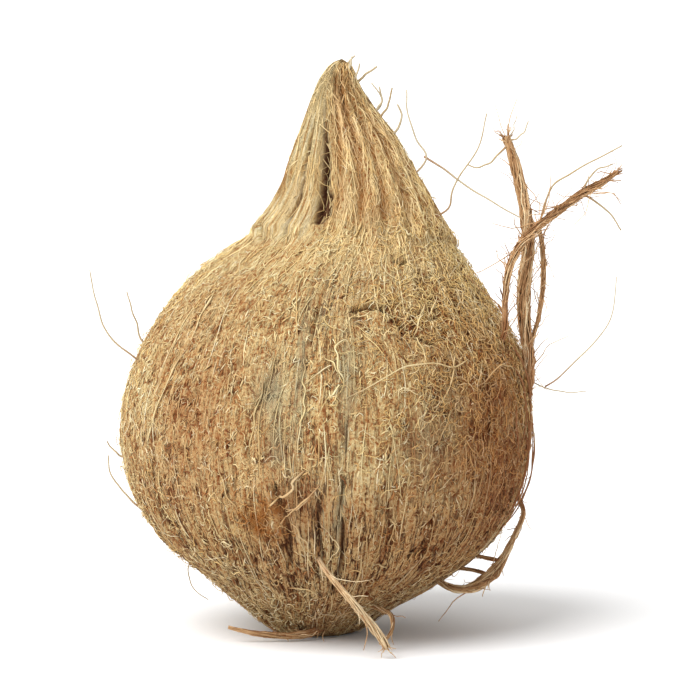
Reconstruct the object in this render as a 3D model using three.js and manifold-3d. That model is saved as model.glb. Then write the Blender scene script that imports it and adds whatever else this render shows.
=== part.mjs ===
// A mature coconut with most of its husk torn away, in one piece as it grew: a nut matted with coir,
// a pointed crown of husk left on its stem end, and torn strands of fibre that still hang from it.
// Millimetres, +Z up, -Y to the front. The origin is the middle of the flat spot that it stands on.

import * as THREE from "three";
import { ImprovedNoise } from "three/addons/math/ImprovedNoise.js";
import Module from "manifold-3d";

const wasm = await Module();
wasm.setup();

// The outline from the flat spot to the crown's tip: height, radius, and how far the middle leans to +X.
const OUTLINE = [
  [0, 10.5, 0],
  [1.2, 14, 0],
  [5.5, 20, 0.3],
  [14, 32.5, 2.6],
  [27, 48.4, 3.3],
  [43, 57.2, 2.8],
  [62, 59.2, 2.7],
  [80, 55.6, 3.6],
  [98, 44.9, 4.1],
  [111, 34.2, 7.6],
  [116, 29.8, 9.2],
  [122, 24.9, 10.4],
  [129, 21, 10.8],
  [137, 17.4, 10],
  [145, 13.4, 9],
  [153, 8.8, 7.4],
  [160, 5.7, 6.8],
  [164, 3.8, 7.3],
  [165.6, 1.8, 7.5],
];
const TIP = 166;
const COLUMNS = 104;
const ROWS_PER_STEP = 2;

// Three broad swellings run from the stem end to the base, the first of them at the front.
const FRONT = -91;
const LOBES = 3;
const LOBE_SWELL = 0.7;

// Each swelling carries two long slits that close together at both ends.
const SLIT_SPREAD = 6.5;
const SLIT = { depth: 2, width: 2.2, low: 12, high: 110 };

// The crown stands on the nut as a loose collar: the nut's skin dips in below its lower edge, least at the front.
const COLLAR = { height: 116, front_rise: 3.5, ragged: 3, dip: 1.7, fade: 8, faint: 0.7 };

// The crown splits at the front in one deep cleft, and in two shallower ones behind.
const CLEFTS = [
  { angle: -111, turn: -6, depth: 6, width: 2, low: 123, high: 160 },
  { angle: 28, turn: 5, depth: 3, width: 1.8, low: 118, high: 150 },
  { angle: 143, turn: -6, depth: 4, width: 2, low: 119, high: 154 },
];
const CLEFT_END = 2.5;
const CLEFT_TAPER = 22;

// Left of the front cleft the husk is one smooth raised flap with a narrow furrow down it.
const FLAP = { angle: -150, spread: 36, raise: 0.7, low: 112 };
const FURROW = { angle: -136, turn: -10, depth: 1.4, width: 1.3, low: 121, high: 154 };

// Lengthwise ribs of fibre, coarse on the crown and fine on the nut, and the matting over both.
const RIBS = { count: 19, depth: 0.75, wander: 13 };
const GRAIN = { count: 24, depth: 0.6, wander: 19 };
const MAT = { depth: 0.9, around: 4.5, along: 14 };

// Torn strands: the route of each in mm, its thickness at the points of the route, its number of sides,
// and how flat it is.
const STRANDS = [
  {
    route: [
      [57, -7, 62],
      [60.6, -7, 71],
      [61.2, -6, 80],
      [60, -5, 89],
      [59.7, -5, 100],
      [60.9, -5, 111.5],
      [60.3, -5, 121.7],
      [58.3, -5, 131],
      [56, -5, 139.5],
      [54.5, -5, 144],
    ],
    thickness: [3, 3.2, 3.4, 3.7, 3.9, 3.8, 3.8, 3.6, 3, 2.2],
    sides: 6,
  },
  {
    route: [
      [50.5, -13, 81],
      [53.9, -16.5, 89],
      [53.9, -17, 97],
      [54.8, -16, 105],
      [56.5, -14, 110.3],
      [59.4, -11.5, 114.7],
      [63.5, -10, 118.6],
      [67.5, -8.5, 121.5],
      [72, -6, 124.7],
      [77, -4, 127.9],
      [82, -3, 130.6],
      [88, -2, 134.5],
    ],
    thickness: [1.5, 1.5, 1.5, 1.6, 1.9, 2.2, 2.4, 2.3, 2.3, 2.4, 2, 1.1],
    sides: 5,
  },
  {
    route: [
      [57, -3, 69],
      [61.7, -2, 75.7],
      [62, -2, 83.6],
      [64, -4, 91.6],
      [65.2, -5, 100],
      [65.2, -6, 108],
      [64.6, -8, 114.7],
      [63.6, -9.8, 118.6],
    ],
    thickness: [1.3, 1.3, 1.2, 1.1, 1.3, 1.5, 1.3, 1],
    sides: 4,
  },
  {
    route: [
      [-2.9, -44, 34],
      [2.6, -51.5, 26],
      [7.5, -53, 20],
      [12.7, -53, 13.9],
      [16.7, -52, 8.8],
      [19.3, -51, 5],
      [20.2, -50, 3.2],
    ],
    thickness: [1.2, 1.3, 1.5, 1.8, 2.4, 2.8, 1.6],
    sides: 5,
  },
  {
    route: [
      [56.5, -4, 42.6],
      [59.7, -8, 35.8],
      [57.4, -10, 29.9],
      [55.1, -12, 25.5],
      [53, -13, 21.8],
      [50.2, -14, 18.4],
      [46.7, -15, 15.9],
      [42, -15, 14.5],
      [38, -13, 15],
      [33, -9, 18],
    ],
    thickness: [1, 1.1, 1.2, 1.5, 2.6, 4.4, 4, 2.6, 2, 1.6],
    sides: 5,
    flat: 0.5,
  },
  {
    route: [
      [53, -13, 22.3],
      [48.5, -10, 22.9],
      [40, -6, 24],
    ],
    thickness: [1.2, 1, 1.3],
    sides: 3,
  },
  {
    route: [
      [50, -14, 18.4],
      [45.6, -11, 19.3],
      [37, -8, 20],
    ],
    thickness: [1.2, 1, 1.3],
    sides: 3,
  },
  {
    route: [
      [4, -14, 4.4],
      [-1.2, -18.5, 2.4],
      [-4.6, -20, 1.9],
      [-11.8, -21, 2.1],
      [-17.6, -22, 2.8],
      [-21.9, -22, 3.7],
      [-25.1, -22, 4.5],
    ],
    thickness: [1.8, 2, 2, 1.8, 1.5, 1.1, 0.7],
    sides: 4,
    flat: 0.6,
  },
  {
    route: [
      [10, -18, 13],
      [17.9, -27, 10.8],
      [21.6, -33, 9.6],
      [21.9, -36, 6.6],
      [20.2, -40, 4.2],
      [18.2, -42, 3.2],
    ],
    thickness: [1.6, 1.4, 1.4, 1.3, 1, 0.7],
    sides: 4,
  },
];

// Single loose hairs, all of about one thickness: the route of each in mm.
const HAIR = 0.75;
const HAIRS = [
  [[-49, -5, 77.8], [-53.4, -6, 81.4], [-56.2, -6, 83.6], [-59.4, -6, 87], [-62.3, -6, 92.7], [-65, -6, 105.8]],
  [[-46.5, -3, 81.6], [-50.9, -3, 86], [-51.6, -3, 90], [-53, -3, 94], [-54.4, -3, 99.1]],
  [[-53.7, -4, 51], [-57.2, -4, 52], [-58.8, -4, 53.6], [-60.3, -4, 55.9]],
  [[-49.6, -3, 35.2], [-54.2, -3, 39.5], [-57, -3, 43], [-59.2, -3, 46.5], [-60, -3, 51.7]],
  [[-35.4, -4, 24], [-37, -4, 18], [-36.4, -4, 14.7], [-34.4, -4, 11.8], [-31.2, -4, 9.7]],
  [[58, -2, 75], [62.9, -2, 72.8], [66.9, -2, 71.1], [72.1, -2, 69.9], [77.9, -2, 70.2]],
  [[66, -2, 71.5], [69.2, -2, 73.4], [74.7, -2, 78.6], [81.4, -2, 85.6], [85.4, -2, 93], [86.5, -2, 103.3]],
  [[33, -4, 120], [38.4, -4, 123.6], [39, -4, 128], [41, -4, 132.3], [46.4, -4, 140.4], [49, -4, 150.6]],
  [[25, -3, 130], [31.6, -4, 138], [28.5, -4, 144], [26.3, -4, 151], [26, -4, 157.3]],
  [[31, -4, 138.2], [37.5, -4, 134], [44.4, -4, 129.1], [52.2, -5, 124.3], [60, -5.5, 120]],
  [[55.5, -5, 142], [51.4, -5, 138.2], [48.5, -5, 135.9], [45.9, -5, 135], [43.4, -4.6, 136]],
  [[63.8, -9.6, 118.6], [66.1, -10, 126.6], [67.8, -10, 130.6], [73.3, -9, 134], [87.7, -7, 141.6]],
  [[76.4, -4, 127.6], [77.9, -5, 131], [80.2, -5, 134.4], [85.1, -5, 136]],
  [[76.5, -4, 127.6], [81.1, -3.4, 124.6], [84.7, -3, 121.4], [87.7, -3, 116.8]],
  [[8, 0, 161], [9.6, 0, 165.4], [11.3, 0, 167]],
  [[9, 0, 157], [13.5, 0, 160.7], [17.6, 0, 163.8]],
  [[14, -1, 147], [18.8, -1, 154], [18.2, -1, 158.1]],
  [[17, -1, 147], [21.1, -1, 153.6], [21.9, -1, 157.8]],
  [[13, -1, 146], [18.2, -1, 152.2], [19, -1, 154.4], [15.9, -1, 159.2]],
  [[19, -1, 141], [23.6, -1, 146.4], [24.6, -1, 150], [23.4, -1, 153]],
  [[54.6, -5, 141.8], [56.7, -5, 146.3], [57.7, -5, 150.4]],
  [[54.6, -5, 142.3], [59.1, -5, 144.6], [60.9, -5, 148.4]],
];

// The coat: short fibres all over the nut and the crown, spread evenly by the golden angle.
const COAT = { count: 64, length: 11, lift: 0.36, thickness: 0.75, root: 1.2, low: 0.2, high: 0.86 };
const GOLDEN_ANGLE = Math.PI * (3 - Math.sqrt(5));

const radians = THREE.MathUtils.degToRad;
const ease = THREE.MathUtils.smoothstep;
const noise = new ImprovedNoise();

const outline = new THREE.CatmullRomCurve3(
  OUTLINE.map(([height, radius, middle]) => new THREE.Vector3(radius, middle, height)),
  false,
  "centripetal",
);

// How far apart two directions are, round the shorter way, in radians.
function between(angle, other) {
  return Math.atan2(Math.sin(angle - other), Math.cos(angle - other));
}

// One at the middle of a furrow and nothing a few widths away from it.
function furrow(offset, width) {
  return Math.exp(-((offset / width) ** 2));
}

// A cut that runs up the crown, turning as it goes and closing towards its upper end.
function cut(angle, height, radius, mark) {
  const share = (height - mark.low) / (mark.high - mark.low);
  const middle = radians(mark.angle + mark.turn * share);
  const open = ease(height, mark.low - CLEFT_END, mark.low) * (1 - ease(height, mark.high - CLEFT_TAPER, mark.high));
  return mark.depth * open * furrow(between(angle, middle) * radius, mark.width * (1 - 0.5 * Math.max(0, share)));
}

// How far the skin stands out from the plain outline at an angle and a height.
function relief(angle, height, radius) {
  const crown = ease(height, 112, 120);
  const settled = ease(height, 0, 9);
  const point = 1 - ease(height, 152, TIP);
  const front = between(angle, radians(FRONT));

  const swell = LOBE_SWELL * Math.cos(LOBES * front) * (1 - crown);
  const fine = GRAIN.depth * Math.cos(GRAIN.count * angle + 1.7 * Math.sin(height / GRAIN.wander)) * (1 - crown);
  const coarse = RIBS.depth * Math.cos(RIBS.count * angle + 1.3 * Math.sin(height / RIBS.wander)) * crown;
  const mat =
    MAT.depth * noise.noise(MAT.around * Math.cos(angle), MAT.around * Math.sin(angle), height / MAT.along);

  let slits = 0;
  const slit_open = ease(height, SLIT.low, SLIT.low + 14) * (1 - ease(height, SLIT.high - 20, SLIT.high));
  for (let lobe = 0; lobe < LOBES; lobe++) {
    for (const side of [-1, 1]) {
      const spread = SLIT_SPREAD * side * Math.sin((Math.PI * (height - SLIT.low)) / (SLIT.high - SLIT.low));
      const middle = radians(FRONT + (360 / LOBES) * lobe + spread);
      slits += SLIT.depth * slit_open * furrow(between(angle, middle) * radius, SLIT.width);
    }
  }

  const edge =
    COLLAR.height +
    COLLAR.front_rise * Math.cos(front) +
    COLLAR.ragged * noise.noise(3 * Math.cos(angle), 3 * Math.sin(angle), 7.3);
  const below = edge - height;
  const step = COLLAR.dip * (1 - COLLAR.faint * furrow(front, 0.6));
  const dip = step * Math.exp(-Math.max(0, below) / COLLAR.fade) * ease(below, -1.5, 1.5);

  const flap_at = between(angle, radians(FLAP.angle)) / radians(FLAP.spread);
  const flap = FLAP.raise * Math.exp(-(flap_at ** 6)) * ease(height, FLAP.low, FLAP.low + 8);
  const cuts = CLEFTS.reduce((sum, cleft) => sum + cut(angle, height, radius, cleft), 0);

  return (
    settled * (swell + point * (fine + coarse * (1 - 0.7 * Math.exp(-(flap_at ** 6)))) + mat * point) +
    flap * point -
    slits * settled -
    dip -
    cuts -
    cut(angle, height, radius, FURROW)
  );
}

// The point of the skin at an angle and at a share of the way up the outline.
function skinPoint(angle, share) {
  const plain = outline.getPoint(share);
  const along = outline.getTangent(share);
  const slope = Math.hypot(along.x, along.z);
  const out = relief(angle, plain.z, plain.x);
  const radius = Math.max(0.5, plain.x + (out * along.z) / slope);
  const height = plain.z - (out * along.x) / slope;
  return new THREE.Vector3(plain.y + radius * Math.cos(angle), radius * Math.sin(angle), Math.max(0, height));
}

// A closed solid over a stack of rings, with one point at each end.
function stack(start, rings, end) {
  const sides = rings[0].length;
  const points = [start, ...rings.flat(), end];
  const last = points.length - 1;
  const faces = [];
  for (let i = 0; i < sides; i++) {
    const next = (i + 1) % sides;
    faces.push(0, 1 + next, 1 + i);
    for (let row = 0; row < rings.length - 1; row++) {
      const low = 1 + row * sides;
      const high = low + sides;
      faces.push(low + i, low + next, high + next, low + i, high + next, high + i);
    }
    faces.push(last - sides + i, last - sides + next, last);
  }
  return new wasm.Manifold(
    new wasm.Mesh({
      numProp: 3,
      vertProperties: new Float32Array(points.flatMap((point) => point.toArray())),
      triVerts: new Uint32Array(faces),
    }),
  );
}

// A tapering strand along a smooth route. Its thickness is given at even steps of the route.
function strand({ route, thickness, sides, flat = 1, steps = route.length + 1 }) {
  const line = new THREE.CatmullRomCurve3(route.map((point) => new THREE.Vector3(...point)));
  const frames = line.computeFrenetFrames(steps, false);
  const rings = [];
  for (let i = 1; i < steps; i++) {
    const share = i / steps;
    const place = share * (thickness.length - 1);
    const step = Math.min(Math.floor(place), thickness.length - 2);
    const wide = THREE.MathUtils.lerp(thickness[step], thickness[step + 1], place - step) / 2;
    const ring = [];
    for (let side = 0; side < sides; side++) {
      const angle = (2 * Math.PI * side) / sides;
      ring.push(
        line
          .getPointAt(share)
          .addScaledVector(frames.normals[i], wide * Math.cos(angle))
          .addScaledVector(frames.binormals[i], wide * flat * Math.sin(angle)),
      );
    }
    rings.push(ring);
  }
  return stack(line.getPoint(0), rings, line.getPoint(1));
}

// The nut and its crown as one skin, standing on the flat spot.
function nut() {
  const rows = Math.round((OUTLINE.length - 1) * ROWS_PER_STEP);
  const rings = [];
  for (let row = 0; row <= rows; row++) {
    const ring = [];
    for (let column = 0; column < COLUMNS; column++) {
      ring.push(skinPoint((2 * Math.PI * column) / COLUMNS, row / rows));
    }
    rings.push(ring);
  }
  const middle = OUTLINE[OUTLINE.length - 1][2];
  return stack(new THREE.Vector3(0, 0, 0), rings, new THREE.Vector3(middle, 0, TIP));
}

// A number between 0 and 1 that looks random but is the same each time for the same place in a series.
function scatter(index, series) {
  const value = Math.sin(index * 12.9898 + series * 78.233) * 43758.5453;
  return value - Math.floor(value);
}

// One short fibre of the coat: rooted under the skin, it leaves it at a low angle and curls back.
function coatFibre(index) {
  const share = THREE.MathUtils.lerp(COAT.low, COAT.high, (index + 0.5) / COAT.count);
  const angle = index * GOLDEN_ANGLE;
  const up = scatter(index, 1) < 0.5 ? -1 : 1;
  const length = COAT.length * (0.7 + 0.6 * scatter(index, 2));
  const root = skinPoint(angle, share);
  const plain = outline.getPoint(share);
  const along = outline.getTangent(share);
  const slope = Math.hypot(along.x, along.z);
  const outward = new THREE.Vector3(
    (Math.cos(angle) * along.z) / slope,
    (Math.sin(angle) * along.z) / slope,
    -along.x / slope,
  );
  const around = new THREE.Vector3(-Math.sin(angle), Math.cos(angle), 0);
  const onward = new THREE.Vector3().crossVectors(outward, around).multiplyScalar(up);
  const sideways = (scatter(index, 3) - 0.5) * 1.4;
  const at = (onwards, lift) =>
    root
      .clone()
      .addScaledVector(onward, onwards * length)
      .addScaledVector(around, sideways * onwards * length * onwards)
      .addScaledVector(outward, lift);
  const lift = COAT.lift * length * (plain.z < 20 ? 0.5 : 1);
  return strand({
    route: [at(-0.12, -COAT.root), at(0.15, lift * 0.35), at(0.55, lift * 0.95), at(1, lift)],
    thickness: [COAT.thickness, COAT.thickness, COAT.thickness, COAT.thickness * 0.7],
    sides: 3,
    steps: 5,
  });
}

// Everything fused into one body, without loose scraps.
function coconut() {
  const pieces = [nut(), ...STRANDS.map(strand)];
  for (const route of HAIRS) {
    pieces.push(strand({ route, thickness: [HAIR, HAIR, HAIR * 0.8], sides: 3, steps: route.length + 1 }));
  }
  for (let index = 0; index < COAT.count; index++) {
    pieces.push(coatFibre(index));
  }
  const bodies = wasm.Manifold.union(pieces).decompose();
  return bodies.reduce((largest, body) => (body.volume() > largest.volume() ? body : largest));
}

// The solid as a mesh that three.js can show.
function shown(solid) {
  const { vertProperties, triVerts } = solid.getMesh();
  const geometry = new THREE.BufferGeometry();
  geometry.setAttribute("position", new THREE.BufferAttribute(new Float32Array(vertProperties), 3));
  geometry.setIndex(new THREE.BufferAttribute(new Uint32Array(triVerts), 1));
  geometry.computeVertexNormals();
  return geometry;
}

const husk = new THREE.MeshStandardMaterial({ color: 0xb98f5e, roughness: 0.95, metalness: 0, flatShading: true });
const mesh = new THREE.Mesh(shown(coconut()), husk);
mesh.name = "coconut";

const model = new THREE.Group();
model.add(mesh);

export default model;
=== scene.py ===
import math

import bpy
import numpy as np
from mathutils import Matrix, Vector


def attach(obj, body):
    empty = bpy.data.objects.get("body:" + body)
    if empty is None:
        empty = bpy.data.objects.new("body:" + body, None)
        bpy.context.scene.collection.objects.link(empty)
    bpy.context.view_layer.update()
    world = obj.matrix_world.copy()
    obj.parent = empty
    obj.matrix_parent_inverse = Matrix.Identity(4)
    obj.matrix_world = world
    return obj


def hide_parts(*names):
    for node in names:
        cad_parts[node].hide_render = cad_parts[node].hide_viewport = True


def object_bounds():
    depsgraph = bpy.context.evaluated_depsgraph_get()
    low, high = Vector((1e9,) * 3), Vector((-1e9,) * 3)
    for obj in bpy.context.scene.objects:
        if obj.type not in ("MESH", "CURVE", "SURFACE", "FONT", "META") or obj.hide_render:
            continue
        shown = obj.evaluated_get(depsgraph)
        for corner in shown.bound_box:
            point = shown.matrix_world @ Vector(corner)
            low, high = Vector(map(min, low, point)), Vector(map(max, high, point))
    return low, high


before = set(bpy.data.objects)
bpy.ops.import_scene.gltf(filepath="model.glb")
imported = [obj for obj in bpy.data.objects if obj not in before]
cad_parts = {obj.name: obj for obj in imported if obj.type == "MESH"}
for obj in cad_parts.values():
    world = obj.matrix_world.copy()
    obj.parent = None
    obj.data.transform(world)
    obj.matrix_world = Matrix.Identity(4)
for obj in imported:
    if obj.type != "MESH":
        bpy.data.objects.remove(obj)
cad_low, cad_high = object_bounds()

# Shapes are worked out in millimetres, in the frame of the CAD part, and scaled once when a mesh is made.
METRES = 0.001
SEED = 7

# The outline from the flat spot to the crown's tip: height, radius, and how far the middle leans to +X.
OUTLINE = np.array([
    (0, 10.5, 0), (1.2, 14, 0), (5.5, 20, 0.3), (14, 32.5, 2.6), (27, 48.4, 3.3), (43, 57.2, 2.8),
    (62, 59.2, 2.7), (80, 55.6, 3.6), (98, 44.9, 4.1), (111, 34.2, 7.6), (116, 29.8, 9.2), (122, 24.9, 10.4),
    (129, 21, 10.8), (137, 17.4, 10), (145, 13.4, 9), (153, 8.8, 7.4), (160, 5.7, 6.8), (164, 3.8, 7.3),
    (165.6, 1.8, 7.5),
])
TIP = 166.0
WIDEST = 59.2

# How far the skin lies inside the CAD solid's, in mm, so that the coats of fibre have room on it.
BEDDING = dict(nut=0.4, crown=0.9)

# Swellings, slits, collar, clefts, flap and furrow, as on the CAD solid, though the front cleft leans a
# little more here. Angles are in degrees from +X.
FRONT = -91
LOBES = 3
LOBE_SWELL = 0.7
SLIT = dict(depth=1.4, width=0.6, low=12, high=112, starts=14, ends=20, spread=6.5, wander=0.9, least=0.12)
BAND = dict(spread=13, rib=3.4, depth=0.35)
COLLAR = dict(height=116, front_rise=3.5, ragged=3, fray=1.5, dip=1.7, fade=8)
CLEFTS = [
    dict(angle=-114, turn=-7, depth=4.4, width=0.8, gentle=2.6, low=122.5, high=160),
    dict(angle=28, turn=5, depth=3, width=1.3, gentle=1.5, low=118, high=150),
    dict(angle=143, turn=-6, depth=4, width=1.3, gentle=1.8, low=119, high=154),
]
CLEFT_END = 2.5
CLEFT_TAPER = 22
FLAP = dict(angle=-150, spread=36, lift=0.7, low=112, roll=0.9, roll_angle=-122, roll_width=1.5)
FURROW = dict(angle=-134, turn=-10, depth=2.6, width=0.7, gentle=1.8, low=119, high=160)
RIBS = dict(count=19, depth=0.75, wander=13)
GRAIN = dict(count=24, depth=0.6, wander=19)


def score(depth, width, *route):
    """A scored line: its depth and width in mm, and its route of (degrees, height)."""
    return dict(depth=depth, width=width, route=route)


# Torn edges of the mat over the front right, a scuff at the left, grooves by the front slits and low at the
# left, the crevice under the slits, gaps in the crown, and some behind.
SCORES = [
    score(3.0, 0.5, (-82, 98), (-75, 99), (-70, 98), (-62, 92), (-55, 88)),
    score(1.9, 0.6, (-64, 111.5), (-60, 110.5), (-57, 111)),
    score(1.6, 0.6, (-52, 108), (-48, 106.5), (-44, 107)),
    score(1.8, 1.0, (-108, 124), (-109, 129)),
    score(1.1, 0.7, (-57, 97), (-52, 95), (-47, 96)),
    score(0.9, 1.2, (-117, 84), (-123, 79), (-133, 72)),
    score(2.2, 0.8, (-104, 50), (-101, 38), (-103, 26)),
    score(2.0, 0.8, (-91, 47), (-92, 38), (-91, 29)),
    score(3.0, 0.7, (-85, 40), (-85, 30), (-87, 16)),
    score(1.1, 0.7, (-104, 88), (-109, 74), (-111, 58)),
    score(1.8, 1.0, (-135, 18), (-121, 13), (-106, 9)),
    score(1.6, 0.9, (-150, 34), (-139, 24), (-127, 17)),
    score(1.6, 0.8, (-160, 52), (-155, 42), (-147, 33)),
    score(1.4, 1.0, (-66, 18), (-74, 11), (-86, 7)),
    score(1.0, 0.8, (-166, 126), (-156, 134), (-152, 141)),
    score(1.5, 0.6, (-146, 116), (-156, 117), (-166, 120)),
    score(1.3, 0.6, (-172, 113), (-165, 115), (-158, 115)),
    score(1.3, 0.7, (62, 92), (70, 84), (82, 80), (96, 86)),
    score(1.2, 0.7, (150, 99), (164, 95), (172, 84)),
    score(1.7, 0.8, (24, 30), (30, 20), (29, 12)),
    score(1.8, 0.8, (143, 40), (149, 29), (147, 15)),
]


def ease(value, low, high):
    """A smooth step: 0 below low, 1 above high, and 3t^2 - 2t^3 between them."""
    t = np.clip((value - low) / (high - low), 0, 1)
    return t * t * (3 - 2 * t)


# Heights between which something on the coconut comes in or fades.
SPANS = dict(
    settled=(0, 9), base=(2, 62), coat_foot=(0.5, 4), rough_foot=(0.5, 5), clear_of_base=(6, 14),
    bark_foot=(6, 24), fuzz_foot=(8, 16), ribs_foot=(10, 22), pale_base_top=(4, 26), bark_top=(22, 62),
    low_calm_top=(25, 50),
    shoulder=(80, 108), pits_thin=(92, 112), husk_top=(104, 112), rusty_curls_top=(105, 112),
    flap_foot=(108, 112), band_top=(108, 118), pits_top=(110, 118), crown=(112, 120), mat_top=(113, 120),
    back_tangle_top=(116, 122), tangle_top=(117, 128), crown_foot=(118, 122), grooves_foot=(118, 126),
    cleft_foot=(120, 124), fuzz_top=(148, 158), point=(152, TIP), fibres_tip=(158, 164), tip=(160, TIP),
)


def rise(span, height):
    """A smooth step up over a named span of heights."""
    return ease(height, *SPANS[span])


def fall(span, height):
    """A smooth step down over a named span of heights."""
    return 1 - rise(span, height)


def between(angle, other):
    """The turn from other to angle, the shorter way round, in radians."""
    return (angle - other + np.pi) % (2 * np.pi) - np.pi


def unit(vectors):
    """Each vector divided by its length."""
    return vectors / np.maximum(np.linalg.norm(vectors, axis=-1, keepdims=True), 1e-9)


def pack(*columns):
    """Arrays of one shape side by side as the columns of vectors."""
    return np.stack(np.broadcast_arrays(*columns), axis=-1)


def lattice(cell):
    """A number from 0 to 1 for each whole-numbered cell, from its three indices mixed with large primes."""
    mixed = (cell[..., 0] * 374761393 + cell[..., 1] * 668265263 + cell[..., 2] * 1440662683) & 0xFFFFFFFF
    mixed = ((mixed ^ (mixed >> 13)) * 1274126177) & 0xFFFFFFFF
    return ((mixed ^ (mixed >> 16)) & 0xFFFF) / 65536.0


def cloud(points):
    """Smooth noise from -1 to 1: the eight corner numbers of each point's cell, blended by smooth steps."""
    cell = np.floor(points).astype(np.int64)
    part = points - cell
    part = part * part * (3 - 2 * part)
    total = 0
    for corner in np.ndindex(2, 2, 2):
        weight = np.where(np.array(corner) == 1, part, 1 - part).prod(axis=-1)
        total = total + weight * lattice(cell + np.array(corner))
    return 2 * total - 1


def smooth_line(points, count):
    """count points on a centripetal Catmull-Rom line: knots stand as far apart as the square root of the
    distance between points, each tangent comes from the two neighbours, and a cubic joins each pair."""
    points = np.asarray(points, dtype=float)
    gap = np.sqrt(np.linalg.norm(np.diff(points, axis=0), axis=1))[:, None]
    slope = np.diff(points, axis=0) / gap
    middle = slope[:-1] + slope[1:] - (points[2:] - points[:-2]) / (gap[:-1] + gap[1:])
    tangent = np.vstack([slope[:1], middle, slope[-1:]])
    place = np.linspace(0, len(points) - 1, count)
    i = np.minimum(place.astype(int), len(points) - 2)
    t = (place - i)[:, None]
    start = (2 * t**3 - 3 * t**2 + 1) * points[i] + (t**3 - 2 * t**2 + t) * gap[i] * tangent[i]
    return start + (3 * t**2 - 2 * t**3) * points[i + 1] + (t**3 - t**2) * gap[i] * tangent[i + 1]


def even_line(points, count):
    """count points at equal distances along the smooth line through points."""
    line = smooth_line(points, 12 * len(points))
    reach = np.concatenate([[0], np.cumsum(np.linalg.norm(np.diff(line, axis=0), axis=1))])
    return pack(*(np.interp(np.linspace(0, reach[-1], count), reach, column) for column in line.T))


# The outline as a fine table. Its climb is the distance run up it from the edge of the flat spot.
OUT, LEAN, HEIGHT = smooth_line(OUTLINE[:, [1, 2, 0]], 1200).T
CLIMB = np.concatenate([[0], np.cumsum(np.hypot(np.diff(OUT), np.diff(HEIGHT)))])
SLOPE_RUN = 1.2


def outline_at(climb):
    """The plain outline at a climb: radius, lean, height, and how far it goes outward and upward a step."""
    radius, lean, height = (np.interp(climb, CLIMB, column) for column in (OUT, LEAN, HEIGHT))
    ahead, behind = climb + SLOPE_RUN, climb - SLOPE_RUN
    outward = np.interp(ahead, CLIMB, OUT) - np.interp(behind, CLIMB, OUT)
    upward = np.interp(ahead, CLIMB, HEIGHT) - np.interp(behind, CLIMB, HEIGHT)
    size = np.hypot(outward, upward)
    return radius, lean, height, outward / size, upward / size


def climb_of(height):
    """The climb at which the outline reaches a height."""
    return np.interp(height, HEIGHT, CLIMB)


def height_of(climb):
    """The height that the outline reaches at a climb."""
    return np.interp(climb, CLIMB, HEIGHT)


def round_place(angle, reach, third):
    """A place in noise on a circle of that reach round the axis, so that it has no seam."""
    return pack(reach * np.cos(angle), reach * np.sin(angle), third)


def round_cloud(angle, reach, third):
    """Smooth noise at a place on a circle round the axis."""
    return cloud(round_place(angle, reach, third))


def grain_place(angle, climb, across, along):
    """A place in noise drawn out up the nut: cells that are across mm wide at the nut's widest and along mm
    long up the climb. The streaks close up towards both ends."""
    return round_place(angle, WIDEST / across, climb / along)


def furrow(offset, width):
    """A rounded furrow: 1 in its middle, falling as a bell curve of that width."""
    return np.exp(-((offset / width) ** 2))


# Soft round spots on the skin: strength, middle in (degrees, height), and reach in (degrees, mm).
SPOTS = dict(
    tangled=[(1, (-42, 95), (30, 19)), (1, (0, 90), (34, 26)), (0.6, (-45, 68), (24, 16))],
    tangled_foot=[(0.4, (-55, 121), (30, 6))],
    grey=[(1, (-106, 76), (4.5, 7)), (0.7, (-103, 62), (2.5, 7)), (0.8, (-84, 80), (2, 13)),
          (0.7, (-98, 84), (1.5, 20)), (0.15, (-94, 45), (9, 16)), (0.4, (-60, 62), (9, 12)),
          (0.8, (35, 66), (9, 16)), (0.8, (139, 72), (7, 17))],
    rust=[(0.4, (-138, 129), (9, 8)), (0.9, (98, 48), (8, 7)), (0.5, (-72, 160), (26, 10))],
    broken_rust=[(1.6, (-109, 41), (6.5, 7)), (0.8, (-162, 130), (9, 6))],
    crown_rust=[(0.5, (-72, 125), (13, 6))],
    # Darker spots: the first, over the front right, is painted shade; the others are damp.
    damp_and_shade=[(0.72, (-30, 54), (44, 40)), (0.5, (-98, 46), (13, 15)), (0.45, (-132, 66), (17, 22)),
          (0.2, (-60, 150), (40, 14))],
    pitted=[(0.5, (-118, 82), (13, 9)), (0.7, (-140, 66), (17, 22))],
)


def spots(kind, angle, height):
    """The sum of soft round spots of a kind: a bell curve of the turn and of the height from each middle."""
    total = 0
    for strength, at, reach in SPOTS[kind]:
        turn = between(angle, np.radians(at[0])) / np.radians(reach[0])
        total = total + strength * np.exp(-(turn**2) - ((height - at[1]) / reach[1]) ** 2)
    return total


def distance(points, line):
    """How far points are from a line of straight stretches: the least distance to any of them."""
    nearest = np.inf
    for start, end in zip(line[:-1], line[1:]):
        run = end - start
        share = np.clip((points - start) @ run / (run @ run), 0, 1)
        nearest = np.minimum(nearest, np.linalg.norm(points - start - share[..., None] * run, axis=-1))
    return nearest


def on_outline(angle, climb):
    """The point of the plain outline at an angle and a climb."""
    radius, lean, height, _, _ = outline_at(climb)
    return pack(lean + radius * np.cos(angle), radius * np.sin(angle), height)


def skin_route(route, count):
    """The smooth line through places of (degrees, height) on the skin, as angles in radians and climbs."""
    angle, height = np.asarray(route, dtype=float).T
    return even_line(pack(np.radians(angle) * WIDEST, climb_of(height), 0 * height), count)[:, :2].T / (
        [WIDEST], [1])


SCORE_LINES = [on_outline(*skin_route(mark["route"], 2 * len(mark["route"]))) for mark in SCORES]


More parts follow.
